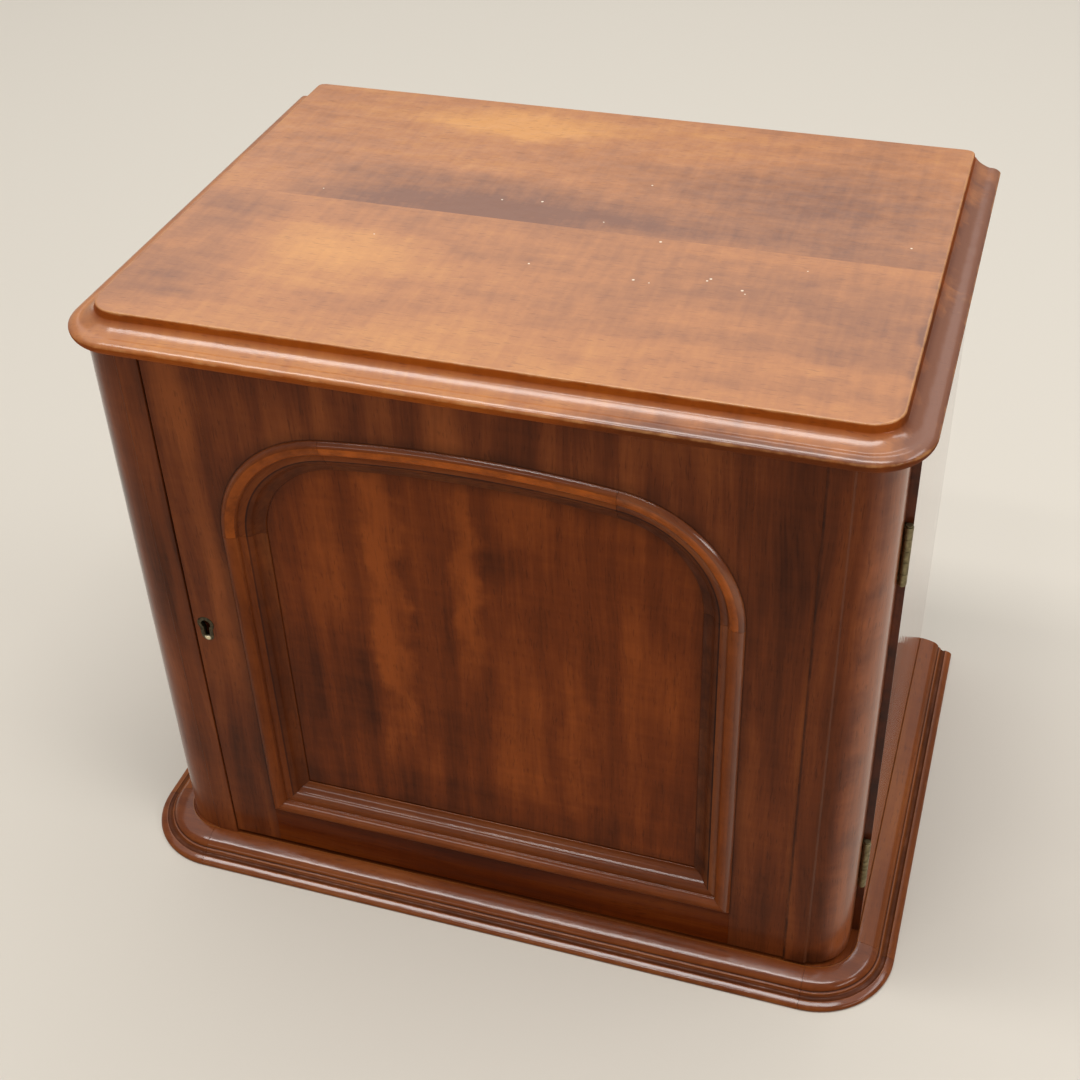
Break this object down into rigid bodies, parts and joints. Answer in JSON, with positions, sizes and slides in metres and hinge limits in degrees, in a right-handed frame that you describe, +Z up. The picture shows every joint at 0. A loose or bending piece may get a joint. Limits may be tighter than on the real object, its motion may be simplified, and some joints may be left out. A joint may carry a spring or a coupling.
{
  "type": "cellarette",
  "caption": "Table-top mahogany cellarette with moulded top and base, arched panel door on butt hinges, cut lock, rounded corner columns and a low bottle rack inside.",
  "frame": {"origin": "middle of the rectangle round the part, on the surface it stands on", "axes": "+X to the right seen from the front, -Y out of the front, +Z up"},
  "size_m": [0.469, 0.321, 0.3785],
  "materials": {
    "mahogany_top": "polished mahogany, faded to orange-brown, satin sheen",
    "mahogany_case": "dark red-brown polished mahogany",
    "mahogany_panel": "figured mahogany, polished",
    "mahogany_moulding": "polished mahogany moulding with rubbed arrises",
    "mahogany_plain": "plain mahogany, oiled, unpolished",
    "old_brass": "dulled old brass",
    "steel_screw": "blackened iron screw"
  },
  "bodies": {
    "cabinet": {"back_board_left": "mahogany_plain", "back_board_right": "mahogany_plain", "back_screws": "steel_screw", "base_rail_front": "mahogany_case", "base_rail_left": "mahogany_case", "base_rail_rear": "mahogany_plain", "base_rail_right": "mahogany_case", "bottom_board": "mahogany_plain", "corner_post_left": "mahogany_case", "divider_cross_centre": "mahogany_plain", "divider_cross_left": "mahogany_plain", "divider_cross_right": "mahogany_plain", "divider_front": "mahogany_plain", "divider_middle": "mahogany_plain", "divider_rear": "mahogany_plain", "door_stop_bottom": "mahogany_case", "door_stop_top": "mahogany_case", "hinge_frame_screws": "old_brass", "hinge_lower_frame_leaf": "old_brass", "hinge_pins": "old_brass", "hinge_upper_frame_leaf": "old_brass", "plinth_corner_left": "mahogany_moulding", "plinth_corner_right": "mahogany_moulding", "plinth_front": "mahogany_moulding", "plinth_side_left": "mahogany_moulding", "plinth_side_right": "mahogany_moulding", "side_left": "mahogany_case", "side_right": "mahogany_case", "strike_plate": "old_brass", "strike_screws": "old_brass", "top_board_front": "mahogany_top", "top_board_rear": "mahogany_top", "top_rail_front": "mahogany_plain", "top_rail_rear": "mahogany_plain", "top_screws": "steel_screw"},
    "door": {"door_column": "mahogany_case", "door_panel": "mahogany_panel", "door_rail_bottom": "mahogany_case", "door_rail_top": "mahogany_case", "door_stile_left": "mahogany_case", "door_stile_right": "mahogany_case", "escutcheon": "old_brass", "hinge_door_screws": "old_brass", "hinge_lower_door_leaf": "old_brass", "hinge_upper_door_leaf": "old_brass", "lock_cap": "old_brass", "lock_case": "old_brass", "lock_screws": "old_brass", "moulding_bottom": "mahogany_moulding", "moulding_crown": "mahogany_moulding", "moulding_left": "mahogany_moulding", "moulding_right": "mahogany_moulding", "moulding_shoulder_left": "mahogany_moulding", "moulding_shoulder_right": "mahogany_moulding", "panel_bead_bottom": "mahogany_plain", "panel_bead_left": "mahogany_plain", "panel_bead_right": "mahogany_plain", "panel_bead_top": "mahogany_plain"},
    "bolt": {"lock_bolt": "old_brass"}
  },
  "joints": [
    {"name": "door_hinge", "type": "hinge", "parent": "cabinet", "child": "door", "pos_m": [0.2103, -0.1075, 0.1828], "axis": [0, 0, 1], "range_deg": [0, 180]},
    {"name": "bolt_slide", "type": "slide", "parent": "door", "child": "bolt", "axis": [-1, 0, 0], "range_m": [0, 0.006]}
  ]
}
